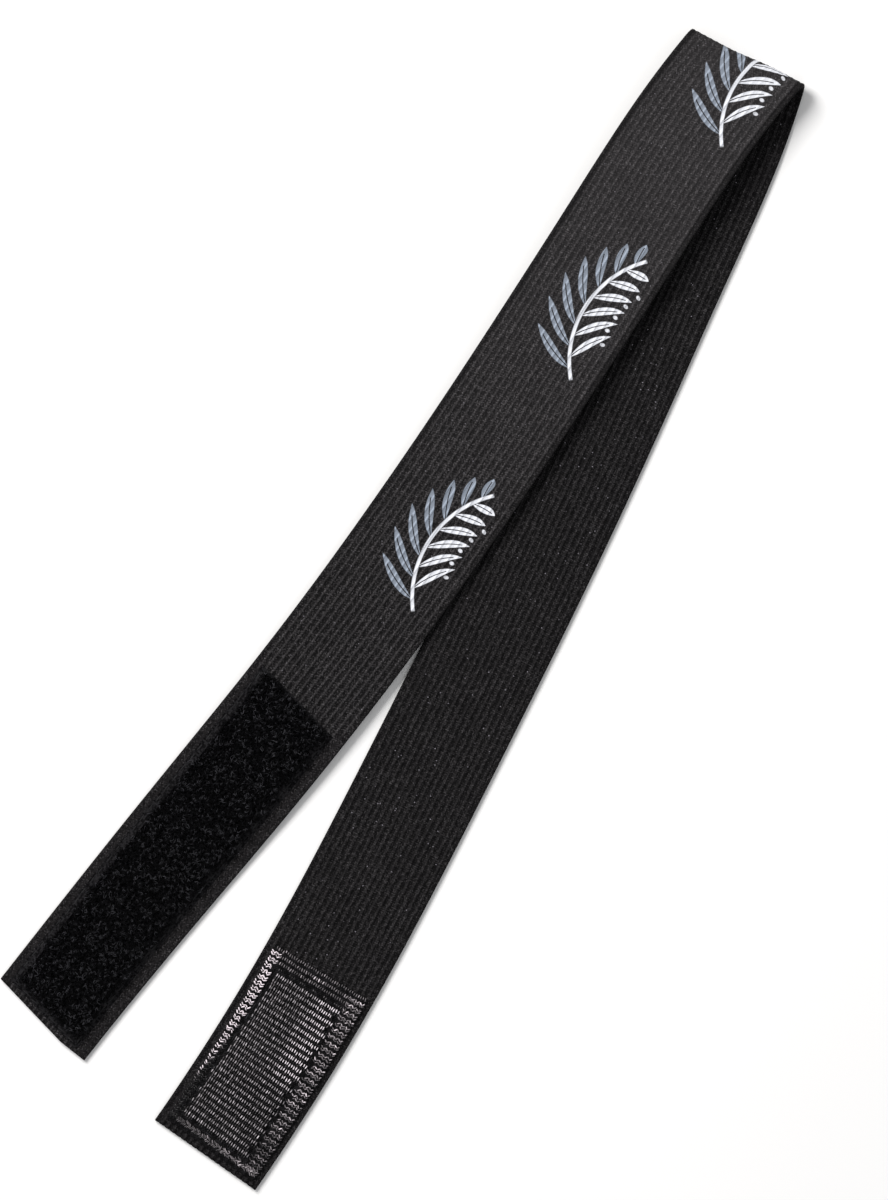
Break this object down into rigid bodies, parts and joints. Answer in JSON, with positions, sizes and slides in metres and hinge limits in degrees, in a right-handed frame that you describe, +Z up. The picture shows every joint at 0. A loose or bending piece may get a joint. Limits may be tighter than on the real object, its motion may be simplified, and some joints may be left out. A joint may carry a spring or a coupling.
{
  "type": "wig grip band",
  "caption": "Elastic headband strip, folded once and lying flat, with a soft loop patch at one free end and a hook patch at the other, worn under a wig to hold it.",
  "frame": {"origin": "bottom centre of the box round the folded band as it lies", "axes": "+X along the folded band, from its free ends to the fold; +Y across, towards the leg with the loop patch; +Z up, away from the surface it lies on"},
  "size_m": [0.3002, 0.0814, 0.007],
  "materials": {
    "elastic": "matt black ribbed woven elastic, with a small printed sprig in white and pale grey",
    "loop_pile": "deep matt black curly pile",
    "hook_nylon": "dark grey-black nylon with a satin glint on each hook"
  },
  "bodies": {
    "root": {"elastic_band": "elastic", "loop_tape": "loop_pile", "hook_tape": "hook_nylon"}
  },
  "joints": []
}
